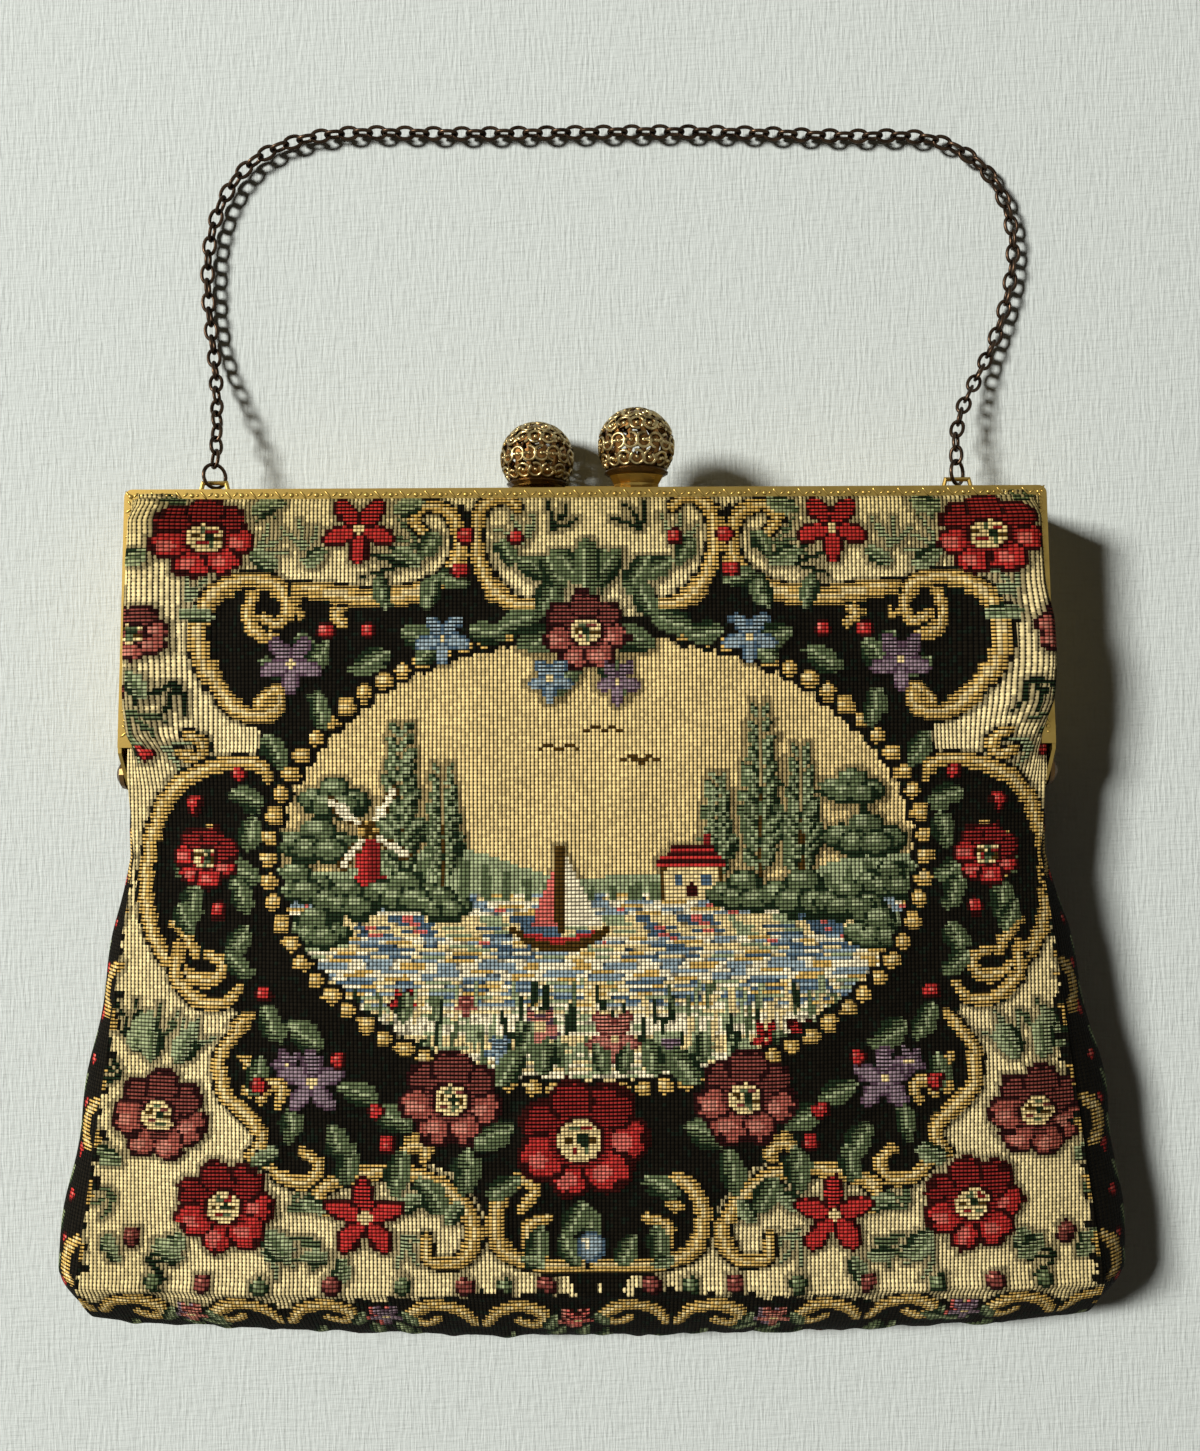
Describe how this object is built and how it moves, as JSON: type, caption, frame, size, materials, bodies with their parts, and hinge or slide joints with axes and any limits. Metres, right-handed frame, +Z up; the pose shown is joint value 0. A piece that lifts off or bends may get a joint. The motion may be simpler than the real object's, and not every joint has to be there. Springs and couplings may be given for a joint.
{
  "type": "frame purse",
  "caption": "Tapestry frame purse with a ball kiss lock: a hinged channel frame opens the gusseted pouch, carried by a link chain",
  "frame": {"origin": "middle of the flat back that the purse rests on, on the floor", "axes": "+X along the frame to the viewer's right, +Y from the pouch bottom to the chain, +Z up out of the front cloth"},
  "size_m": [0.239, 0.2779, 0.028],
  "materials": {
    "frame_brass": "satin",
    "rivet_bronze": "satin",
    "knob_gilt": "satin",
    "chain_bronze": "satin",
    "tapestry": "matte",
    "gusset_tapestry": "matte",
    "lining_satin": "satin",
    "packing_paper": "matte"
  },
  "bodies": {
    "pouch": {"rear_frame": "frame_brass", "left_hinge_rivet": "rivet_bronze", "right_hinge_rivet": "rivet_bronze", "rear_knob_bracket": "frame_brass", "rear_knob_collar": "rivet_bronze", "rear_knob_ball": "knob_gilt", "left_chain_ear": "frame_brass", "right_chain_ear": "frame_brass", "front_panel": "tapestry", "back_panel": "tapestry", "left_gusset": "gusset_tapestry", "right_gusset": "gusset_tapestry", "front_lining": "lining_satin", "back_lining": "lining_satin", "left_gusset_lining": "lining_satin", "right_gusset_lining": "lining_satin", "rear_packing_cord": "packing_paper"},
    "front_half": {"front_frame": "frame_brass", "front_knob_bracket": "frame_brass", "front_knob_collar": "rivet_bronze", "front_knob_ball": "knob_gilt", "front_packing_cord": "packing_paper"},
    "chain": {"chain_links": "chain_bronze", "left_jump_ring": "chain_bronze", "right_jump_ring": "chain_bronze"}
  },
  "joints": [
    {"name": "frame_hinge", "type": "hinge", "parent": "pouch", "child": "front_half", "pos_m": [0, 0.075, 0.014], "axis": [1, 0, 0], "range_deg": [0, 90], "deforming": ["front_panel", "front_lining"]},
    {"name": "chain_swing", "type": "hinge", "parent": "pouch", "child": "chain", "pos_m": [0, 0.1406, 0.01018], "axis": [1, 0, 0], "range_deg": [-90, 90]}
  ]
}
